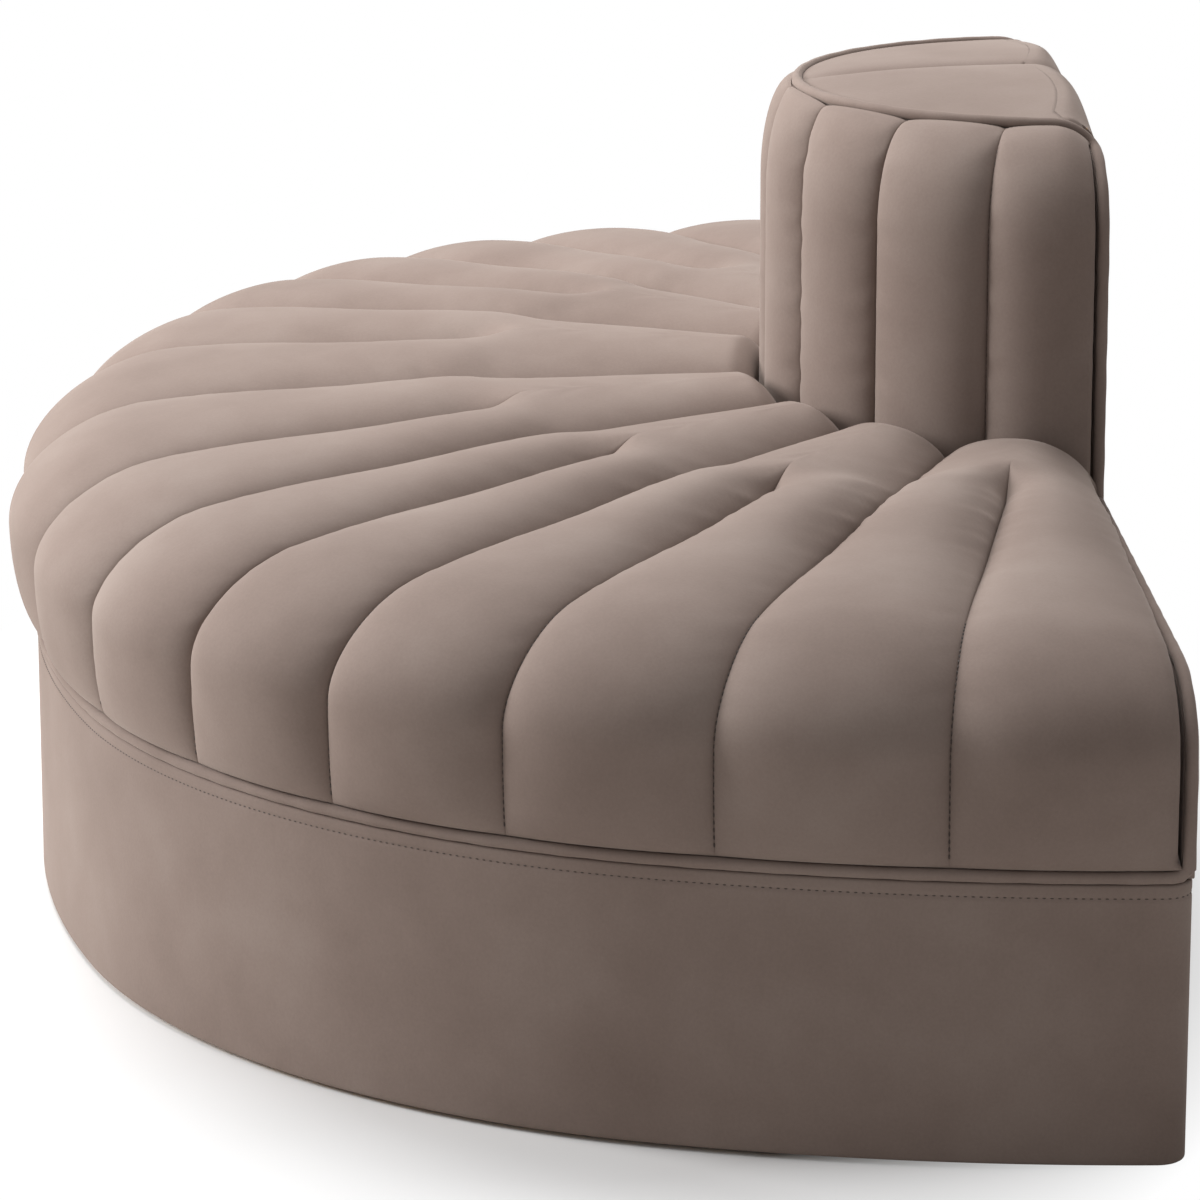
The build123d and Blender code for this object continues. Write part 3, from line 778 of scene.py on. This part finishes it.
    def grid(self) -> Array:
        """Points of the seat, one row for each direction from the fan's axis."""
        direction, _ = self.directions()
        r, z, stuffed = self.sections()
        grid = self.plan.around(direction, r, z)
        steps = np.linalg.norm(np.diff(grid, axis=1), axis=2)
        length = np.pad(np.cumsum(steps, axis=1), ((0, 0), (1, 0)))
        at_dart = np.exp(-(((r - self.dart_end) / self.dart_pucker_spread) ** 2))
        pucker = self.pucker * (self.rim_pucker_share + (1 - self.rim_pucker_share) * at_dart)
        folds = pucker * self.puckers.folds(self.places(), self.channels, r, length)
        sag = self.sag * ripple(length, self.sag_waves_mm, self.sag_phase) * arch(self.places() % 1)
        rounding = rounded_off(self.plan.fan[1] - grid[..., 1], self.rear_round)
        move = (folds + sag - rounding) * stuffed
        move[-1] = 0.0
        return moved_out(grid, move, UPWARD)

    def build(self, work: Upholstery) -> None:
        """Builds the seat cushion and the stitches that show in its seams.

        Args:
            work: Cloth and thread of the module.
        """
        grid = self.grid()
        work.cloth("seat_channels", grid, "seat_cushion")
        raised = moved_out(grid, self.thread_stand, UPWARD)
        seams = [raised[i * self.columns, slice(*self.stitched)] for i in range(1, self.channels)]
        work.stitches("seat_stitches", Stitching(), seams)


@dataclass(frozen=True)
class BackPanel:
    """A flat upholstered panel on the back plane, with a soft rounded edge."""

    plan: Plan
    edge: float = 4 * MM
    # Places of the inner face's points, as shares of its height from the top
    inner_shares: tuple[float, ...] = (0.0, 0.02, 0.05, 0.1, 0.2)

    def grid(self, tops: Array, low: float, corner: float = 0.0) -> Array:
        """Points of the panel, in upright loops from its inner end to its outer edge.

        Args:
            tops: Top edge in x and z, from the inner end to the outer edge.
            low: Height of the bottom edge.
            corner: Radius of the bottom corner at the outer edge.

        Returns:
            One row of points for each place along the top edge.
        """
        x, top = tops[:, :1], tops[:, 1:]
        back_y = self.plan.back_y - rounded_off(x[-1] - x, self.edge)
        front_y = np.full_like(x, self.plan.back_y - self.plan.back_pad)
        foot = low + rounded_off(x[-1] - x, corner)
        upward = np.sin(np.linspace(0.0, pi / 2, num=40))
        wall_z = foot + (top - self.edge - foot) * upward
        over = bend((back_y, top - self.edge), (back_y - self.edge, top), count=6)[:, 1:]
        inner_z = top + (foot - top) * np.array([self.inner_shares])
        y = joined(front_y, back_y + 0 * wall_z, over[..., 0], front_y + 0 * inner_z)
        z = joined(foot, wall_z, over[..., 1], inner_z)
        return np.stack([x + 0 * y, y, z], axis=2)


@dataclass(frozen=True)
class Backrest:
    """The half-round backrest of one module: channelled side, crowned top and flat back."""

    plan: Plan
    deck_top: float
    board_top: float
    shape: Ellipse
    channels: int = 4
    columns: int = 34
    # How much the rear channels are narrower than the front ones, and how that fades
    narrowing: float = 0.38
    narrowing_fade: float = 0.25
    channel_depth: float = 19 * MM
    edge_fill: float = 0.65
    seam_dip: float = 5 * MM
    foot_tuck: float = 12 * MM
    foot_height: float = 40 * MM
    shoulder_height: float = 98 * MM
    core: float = 250 * MM
    inner_step: float = 200 * MM
    welt: float = Welt.diameter
    clearance: float = Welt.clearance
    welt_stand: float = 6.5 * MM
    welt_bend: float = 15 * MM
    welt_spacing: float = 4 * MM
    welt_beside: Point = (1.0, -1.0, 0.0)
    crown_rise: float = 25 * MM
    crown_edge: float = 8 * MM
    crown_power: float = 2.4
    crown_root: float = 0.75
    crown_fall: float = 0.5
    crease: float = 5 * MM
    crease_width: float = 9 * MM
    crease_gain: float = 2.0
    crease_least: float = 0.25
    rear_roll: float = 40 * MM
    rear_puff: float = 0.5
    # Depth over which the roll fades, in rolls, and height over which the corner does, in radii
    roll_fade: float = 2.0
    corner_fade: float = 2.2
    corner_round: float = 46 * MM
    rear_round: float = 6 * MM
    panel_gap: float = 0.6 * MM
    # How far down and out the points of the crown's underside are, from the middle to the skirt's foot
    skirt_drops: tuple[float, ...] = (0.0, 0.0, 26 * MM, 26 * MM)
    skirt_stands: tuple[float, ...] = (0.0, 0.0, 0.1 * MM, 0.3 * MM)
    # Runs of the crown's rings: first and last share of the core, and number
    crown_rings: tuple[tuple[float, float, int], ...] = ((1.0, 0.9, 9), (0.88, 0.02, 34))
    puckers: Puckers = Puckers(22 * MM, 4 * MM, (44.0, 27.0), 1.9)
    pucker: float = 0.9 * MM
    # Points at both ends of the stuffed surface that stay, and those between which stitches show
    end_points: int = 2
    stitched: tuple[int, int] = (3, 80)

    @property
    def top_welt_reach(self) -> float:
        """Distance from the fan's axis to the middle of the top welt."""
        return self.core + self.clearance + self.welt / 2

    def rolled(self, points: Array) -> Array:
        """Rolls the rear edge of the top forward and rounds the corner beside it.

        Args:
            points: Points of a piece of the backrest, in the last axis.

        Returns:
            The moved points.
        """
        out = points[..., 0] - self.plan.mating_x
        beside = smoothstep(self.core + self.clearance, self.core + self.welt / 2, out)
        out = np.clip(out, 0.0, self.core)
        top = self.board_top + np.maximum(self.crown(out, 0 * out), self.welt)
        rise = np.clip((points[..., 2] - top) / self.rear_roll + 1, 0.0, 1.0)
        depth = np.maximum(self.plan.back_y - points[..., 1], 0.0)
        fade = np.clip(1 - depth / (self.roll_fade * self.rear_roll), 0.0, 1.0)
        roll = self.rear_roll * (1 - self.rear_puff * np.sin(pi * out / self.core))
        shoulder_top = self.board_top + self.welt
        over_shoulder = (points[..., 2] - shoulder_top) / (self.corner_fade * self.corner_round)
        high = np.clip(over_shoulder + 1, 0.0, 1.0)
        moved = points.copy()
        moved[..., 1] -= roll * (1 - np.sqrt(1 - rise**2)) * fade * (1 - beside)
        moved[..., 2] -= rounded_off(depth, self.corner_round) * high * beside
        return moved

    def side_grid(self) -> Array:
        """Points of the channelled side, one row for each direction from the fan's axis."""
        places = channel_places(self.channels, self.columns)
        seam_fill = np.where(places < 0.5, self.edge_fill, 0.0)
        fill = seam_fill + (1 - seam_fill) * arch(places % 1)
        share = places / self.channels
        angle = (share - share * (1 - share) * (self.narrowing - self.narrowing_fade * share)) * pi / 2
        direction = directions_at(angle)
        outer = self.shape.reach(angle) - self.channel_depth * (1 - fill)
        foot_top = self.deck_top + self.foot_height
        foot = bend((self.deck_top, outer - self.foot_tuck), (foot_top, outer), count=9)
        shoulder_top = self.board_top + self.welt - self.welt_stand
        shoulder_low = shoulder_top - self.shoulder_height
        shoulder_r = self.top_welt_reach + self.welt / 2 + self.clearance
        shoulder_end = (shoulder_r, shoulder_top - self.seam_dip * (1 - fill))
        over = bend((outer, shoulder_low), shoulder_end, count=20)[:, 1:]
        side_z = np.linspace(foot_top, shoulder_low, num=60)[1:] + 0 * outer
        inner = self.core + self.clearance
        inside_r = np.array([shoulder_r, inner, inner, inner]) + 0 * outer
        inner_z = self.deck_top + self.inner_step
        inside_z = np.array([self.board_top, self.board_top, inner_z, self.deck_top]) + 0 * outer
        r = joined(foot[..., 1], outer + 0 * side_z, over[..., 0], inside_r)
        z = joined(foot[..., 0], side_z, over[..., 1], inside_z)
        grid = self.plan.around(direction, r, z)
        stuffed = np.zeros_like(r)
        stuffed[:, self.end_points : -inside_r.shape[1] - self.end_points] = 1.0
        rounding = rounded_off(self.plan.fan[1] - grid[..., 1], self.rear_round)
        folds = self.pucker * self.puckers.folds(places, self.channels, r, z)
        move = (folds - rounding) * stuffed
        move[-1] = 0.0
        return self.rolled(moved_out(grid, move, np.pad(direction, ((0, 0), (0, 1)))))

    def crown(self, x: Array, y: Array) -> Array:
        """Height of the crowned top over the board.

        Args:
            x: Distance from the mating plane.
            y: Distance forward of the fan's axis.

        Returns:
            The height at each point.
        """
        edge = np.clip(np.hypot(x, y) / self.core, 0.0, 1.0)
        swell = (1 - edge**self.crown_power) ** self.crown_root
        side = 1 - self.crown_fall * (x / self.core) ** 2
        crease = self.crease * np.exp(-x / self.crease_width)
        height = self.crown_edge + (self.crown_rise - self.crown_edge) * swell * side
        return height - crease * np.clip(swell * self.crease_gain, self.crease_least, 1.0)

    def top_grid(self) -> Array:
        """Rows of the crowned pad: the underside, then the crown from its edge to the middle of the back."""
        angle = np.linspace(0.0, pi / 2, num=49)[:, None]
        ring = self.core * np.concatenate([np.linspace(*run) for run in self.crown_rings])
        crown = self.board_top + self.crown(ring * np.cos(angle), ring * np.sin(angle))
        under = self.board_top - np.array(self.skirt_drops) + 0 * angle
        reach = np.concatenate([ring[[-1, 0, 0, 0]] + self.skirt_stands, ring])[None, :]
        height = joined(under, crown)
        return self.rolled(self.plan.around(directions_at(angle), reach, height))

    def rear_edge(self, inset: float) -> Array:
        """Points along the rear edge, from the deck up the side and over the shoulder, in x and z."""
        edge_reach = self.shape.half_width - self.channel_depth * (1 - self.edge_fill)
        side_x = self.plan.mating_x + edge_reach - inset
        shoulder_top = self.board_top + self.welt - inset
        low = shoulder_top - self.shoulder_height + inset
        shoulder_x = self.plan.mating_x + self.top_welt_reach
        shoulder = bend((side_x, low), (shoulder_x, shoulder_top), count=16)
        return np.concatenate([[(side_x, self.deck_top)], shoulder])

    def welt_path(self) -> Array:
        """Centre line of the welt, from the front round the top and down the side's rear edge."""
        angle = np.linspace(pi / 2, 0.0, num=60)[:, None]
        height = np.full_like(angle, self.board_top + self.welt / 2 + self.clearance / 2)
        reach = np.full_like(angle, self.top_welt_reach)
        ring = self.plan.around(directions_at(angle), reach, height)[:, 0]
        edge = np.insert(self.rear_edge(self.welt / 2)[::-1], 1, self.plan.rear_welt_y, axis=1)
        return bent_softly(np.concatenate([self.rolled(ring), self.rolled(edge)]), self.welt_bend)

    def panel_tops(self) -> Array:
        """Top edge of the flat back, from the mating plane along the crown and down the shoulder."""
        out = np.linspace(self.panel_gap, self.core + self.clearance, num=26)
        crown = np.stack([self.plan.mating_x + out, self.board_top + self.crown(out, 0 * out)], axis=1)
        return np.concatenate([crown, self.rear_edge(self.welt + self.clearance)[:0:-1]])

    def build(self, work: Upholstery) -> None:
        """Builds the channelled side, the crowned top, the welt, the flat back and the stitches.

        Args:
            work: Cloth and thread of the module.
        """
        grid = self.side_grid()
        work.cloth("backrest_channels", grid, "backrest_cushion")
        work.cloth("backrest_crown", self.top_grid(), "backrest_top_pad")
        welt = Welt(spacing=self.welt_spacing).rings(self.welt_path(), self.welt_beside)
        work.cloth("backrest_piping", welt, "backrest_top_welt", "backrest_rear_welt")
        panel = self.rolled(BackPanel(self.plan).grid(self.panel_tops(), self.deck_top))
        work.cloth("backrest_back_panel_pad", panel, "backrest_back_pad")
        seams = [grid[i * self.columns, slice(*self.stitched)] for i in range(1, self.channels)]
        work.stitches("backrest_stitches", Stitching(), seams)


@dataclass(frozen=True)
class Plinth:
    """The upholstered plinth of one module, with its welt, rear welt, seat back and topstitch."""

    plan: Plan
    floor_gap: float
    deck_top: float
    seat_top: float
    inner_reach: float
    thickness: float = 4 * MM
    edge: float = 3 * MM
    stitch_drop: float = 12 * MM
    stitching: Stitching = Stitching(length=3.0 * MM, thread=1.0 * MM)
    # The groove under the topstitch, and the space below it to the wall's points
    groove: float = 0.9 * MM
    groove_reach: float = 5 * MM
    groove_narrowness: float = 4.0
    groove_margin: float = 8 * MM
    # How deep in the groove the stitches lie
    stitch_depth: float = 0.7
    welt: float = Welt.diameter
    clearance: float = Welt.clearance
    rear_drop: float = FanSeat.rear_drop
    bulge_height: float = FanSeat.bulge_height
    shoulder_reach: float = FanSeat.seam_roll
    lip: float = FanSeat.lip
    edge_bulge: float = 3 * MM
    welt_corner: float = 13 * MM

    def wall_path(self, inset: float) -> Array:
        """Points in plan from the front centre round the rear corner to the centre of the back."""
        rim = self.plan.rim(np.linspace(1.0, 0.0, num=241), inset)
        radius = self.plan.rear_corner - inset
        corner_y = self.plan.back_y - self.plan.rear_corner
        rim = rim[rim[:, 1] <= corner_y]
        centre_x = rim[-1, 0] - radius
        corner = bend((rim[-1, 0], corner_y), (centre_x, corner_y + radius), count=13)
        back_x = np.linspace(centre_x, self.plan.mating_x, num=60)[1:]
        back = np.stack([back_x, np.full_like(back_x, self.plan.back_y - inset)], axis=1)
        return np.concatenate([rim, corner, back])

    def cover(self) -> Array:
        """Rings of the plinth's cover, with rolled edges and a groove under the topstitch."""
        low, top = self.floor_gap, self.deck_top
        stitch = top - self.stitch_drop
        wall_z = np.linspace(low + 2 * self.edge, stitch - self.groove_margin, num=14)
        across = np.linspace(-1.0, 1.0, num=9)
        groove = self.groove * np.exp(-((self.groove_narrowness * across) ** 2) / 2)
        profile = np.concatenate(
            [
                [(self.thickness, low)],
                bend((low, self.edge), (low + self.edge, 0.0), count=5)[:, ::-1],
                np.stack([0 * wall_z, wall_z], axis=1),
                np.stack([groove, stitch + self.groove_reach * across], axis=1),
                bend((0.0, top - self.edge), (self.edge, top), count=5),
                [(self.thickness, top)],
            ]
        )
        outer = self.wall_path(0.0)
        inner = self.wall_path(self.thickness)
        count = min(len(outer), len(inner))
        share = profile[:, :1] / self.thickness
        plan = outer[:count, None] * (1 - share) + inner[:count, None] * share
        return np.concatenate([plan, 0 * plan[..., :1] + profile[:, 1:]], axis=2)

    def rear_edge(self, inset: float) -> Array:
        """Points along the seat's rear edge, from the plinth to the backrest, in x and z."""
        outer = self.plan.mating_x + self.plan.half_width + self.edge_bulge
        edge_x = outer - inset
        top = self.seat_top - self.rear_drop - inset
        middle = self.deck_top + self.bulge_height
        shoulder_x = outer - self.shoulder_reach
        shoulder = bend((edge_x, middle), (shoulder_x, top), count=18)
        level_x = np.linspace(shoulder_x, self.plan.mating_x + self.inner_reach, num=20)[1:]
        level = np.stack([level_x, np.full_like(level_x, top)], axis=1)
        return np.concatenate([[(edge_x, self.deck_top + self.welt_corner)], shoulder, level])

    def welt_path(self) -> Array:
        """Centre line of the seat's welt, from the front round the rim and up at the rear corner."""
        height = self.deck_top + self.welt / 2 + self.clearance / 2
        rear_y = self.plan.rear_welt_y
        corner_y = rear_y - self.welt_corner
        rim = self.plan.rim(np.linspace(1.0, 0.0, num=200), self.lip)
        rim = np.insert(rim[rim[:, 1] <= corner_y], 2, height, axis=1)
        corner = bend((height, corner_y), (height + self.welt_corner, rear_y), count=10)[1:, ::-1]
        return np.concatenate([rim, np.insert(corner, 0, rim[-1, 0], axis=1)])

    def build(self, work: Upholstery) -> None:
        """Builds the cover, the welts, the seat's flat back and the topstitch.

        Args:
            work: Cloth and thread of the module.
        """
        work.cloth("plinth_cover", self.cover(), "base_cover")
        work.cloth("seat_piping", Welt().rings(self.welt_path(), axis=self.plan.fan), "seat_welt")
        edge = np.insert(self.rear_edge(self.welt / 2), 1, self.plan.rear_welt_y, axis=1)
        work.cloth("seat_rear_piping", Welt().rings(edge, (0.0, 1.0, 0.0)), "seat_rear_welt")
        tops = self.rear_edge(self.welt + self.clearance)[:0:-1]
        panel = BackPanel(self.plan).grid(tops, self.deck_top, self.welt_corner)
        work.cloth("seat_back_panel_pad", panel, "seat_back_pad")
        line = self.wall_path(self.groove * self.stitch_depth)
        stitch = np.insert(line, 2, self.deck_top - self.stitch_drop, axis=1)
        work.stitches("plinth_topstitch", self.stitching, [stitch])


def place_aimed(data: bpy.types.Light | bpy.types.Camera, place: Point, aim: Vector) -> Object:
    """Puts a lamp or a camera into the scene.

    Args:
        data: Its settings, which also name it.
        place: Where it stands.
        aim: Direction that it looks along.

    Returns:
        The new object.
    """
    item = bpy.data.objects.new(data.name, data)
    item.location = place
    item.rotation_euler = aim.to_track_quat("-Z", "Y").to_euler()
    bpy.context.collection.objects.link(item)
    return item


@dataclass(frozen=True)
class Studio:
    """Pale floor, soft lamps and the camera of the photograph."""

    back_y: float
    # The camera's place, from the foot of the sofa's back
    camera_offset: Point = (5.4, -0.629, 1.621)
    yaw: float = -0.031
    pitch: float = 0.251
    lens_mm: float = 167.0
    sensor_mm: float = 36.0
    sight: float = 200.0
    # Name, place, width and power of each square lamp, and the point that they are aimed at
    softboxes: tuple[tuple[str, Point, float, float], ...] = (
        ("overhead_softbox", (-1.3, -0.8, 3.8), 2.4, 138.0),
        ("front_softbox", (-0.9, -5.0, 2.4), 2.2, 315.0),
    )
    target: Point = (0.0, 0.0, 0.35)
    white: str = "ffffff"
    floor_colour: str = "f6f6f6"
    bounce_colour: str = "dcd8d4"
    floor_size: float = 60.0
    # Half widths of the oval where the floor starts to fade to white and is white, and its depth as a share
    shadow_reach: tuple[float, float] = (1.03, 1.45)
    depth_share: float = 0.5
    ambient: float = 0.33

    def floor(self) -> None:
        """Lays a wide floor that fades to plain white away from the sofa and keeps the shadow near it."""
        bpy.ops.mesh.primitive_plane_add(size=self.floor_size)
        plane = bpy.context.object
        plane.name = "floor"
        material, tree, surface = blank_material("matte_white_floor")
        diffuse = add_node(tree, "BsdfDiffuse", {"Color": linear(self.floor_colour)}, {}).outputs["BSDF"]
        glow = {"Color": linear(self.white), "Strength": 1.0}
        white = add_node(tree, "Emission", glow, {}).outputs["Emission"]
        stretch = {"Scale": (1.0, 1 / self.depth_share, 1.0)}
        oval = add_node(tree, "Mapping", stretch, {"Vector": object_place(tree)}).outputs["Vector"]
        distance = add_node(tree, "VectorMath", {"operation": "LENGTH"}, {0: oval}).outputs["Value"]
        reach = dict(zip(("From Min", "From Max"), self.shadow_reach))
        away = add_node(tree, "MapRange", reach, {"Value": distance}).outputs["Result"]
        faded = add_node(tree, "MixShader", {}, {"Fac": away, 1: diffuse, 2: white}).outputs["Shader"]
        bounce = add_node(tree, "BsdfDiffuse", {"Color": linear(self.bounce_colour)}, {}).outputs["BSDF"]
        seen = add_node(tree, "LightPath", {}, {}).outputs["Is Camera Ray"]
        mixed = add_node(tree, "MixShader", {}, {"Fac": seen, 1: bounce, 2: faded})
        tree.links.new(mixed.outputs["Shader"], surface)
        plane.data.materials.append(material)

    def world(self) -> None:
        """Even ambient light that is white where the camera sees it or a surface mirrors it."""
        world = bpy.data.worlds.new("studio")
        world.use_nodes = True
        tree = world.node_tree
        background = tree.nodes["Background"]
        path = add_node(tree, "LightPath", {}, {}).outputs
        rays = {0: path["Is Camera Ray"], 1: path["Is Glossy Ray"]}
        seen = add_node(tree, "Math", {"operation": "MAXIMUM"}, rays).outputs["Value"]
        strength = add_node(tree, "MapRange", {"To Min": self.ambient, "To Max": 1.0}, {"Value": seen})
        tree.links.new(strength.outputs["Result"], background.inputs["Strength"])
        background.inputs["Color"].default_value = linear(self.white)
        bpy.context.scene.world = world

    def camera(self) -> None:
        """Sets up the camera, looking down along -X."""
        data = bpy.data.cameras.new("photo_camera")
        data.lens = self.lens_mm
        data.sensor_width = self.sensor_mm
        data.clip_end = self.sight
        right, back, up = self.camera_offset
        level = np.cos(self.pitch)
        aim = Vector((-np.cos(self.yaw) * level, -np.sin(self.yaw) * level, -np.sin(self.pitch)))
        bpy.context.scene.camera = place_aimed(data, (right, self.back_y + back, up), aim)

    def build(self) -> None:
        """Sets up floor, world, lamps and camera."""
        self.floor()
        self.world()
        for name, place, size, watts in self.softboxes:
            data = bpy.data.lights.new(name, "AREA")
            data.size = size
            data.energy = watts
            place_aimed(data, place, Vector(self.target) - Vector(place))
        self.camera()
        bpy.context.scene.view_settings.view_transform = "Standard"


def finish_solids(velvet: Material) -> None:
    """Gives every solid the finish of its record slot.

    Args:
        velvet: Finish of the cloth pieces.
    """
    finishes = {slot: finish.make() for slot, finish in SOLID_FINISHES.items()}
    finishes["velvet"] = velvet
    slots = {part["node"]: part["material_slot"] for part in frame["record"]["subparts"]}
    for name, node in frame["nodes"].items():
        node.data.materials.clear()
        node.data.materials.append(finishes[slots[name]])
        LOG.info("%s: %s", name, slots[name])


def main() -> None:
    """Builds the sofa, piece by piece, then the studio round it."""
    cover_low, cover_high = (np.array(corner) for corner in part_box("right_base_cover"))
    cushion_high = np.array(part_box("right_seat_cushion")[1])
    board_high = np.array(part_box("right_backrest_top_board")[1])
    plan = Plan(
        half_width=float(cover_high[1] - cover_low[1]),
        back_y=float(cover_high[1]),
        mating_x=float(cover_low[0]) - CUT_END_STAND,
    )
    base_plan = replace(plan, mating_x=float(cover_low[0]))
    ellipse = Ellipse()
    velvet = VELVET.make()
    thread = THREAD.make()
    deck_top = float(cover_high[2])
    seat_top = float(cushion_high[2]) - FanSeat.crown
    backrest_edge = ellipse.half_width - Backrest.channel_depth * (1 - Backrest.edge_fill)
    rear_end = backrest_edge + FanSeat.backrest_gap / 2
    finish_solids(velvet)
    for side in Module:
        work = Upholstery(side, velvet, thread)
        Plinth(base_plan, float(cover_low[2]), deck_top, seat_top, rear_end).build(work)
        FanSeat(plan, deck_top, seat_top, ellipse).build(work)
        Backrest(plan, deck_top, float(board_high[2]), ellipse).build(work)
    Studio(plan.back_y).build()


if __name__ == "__main__":
    main()
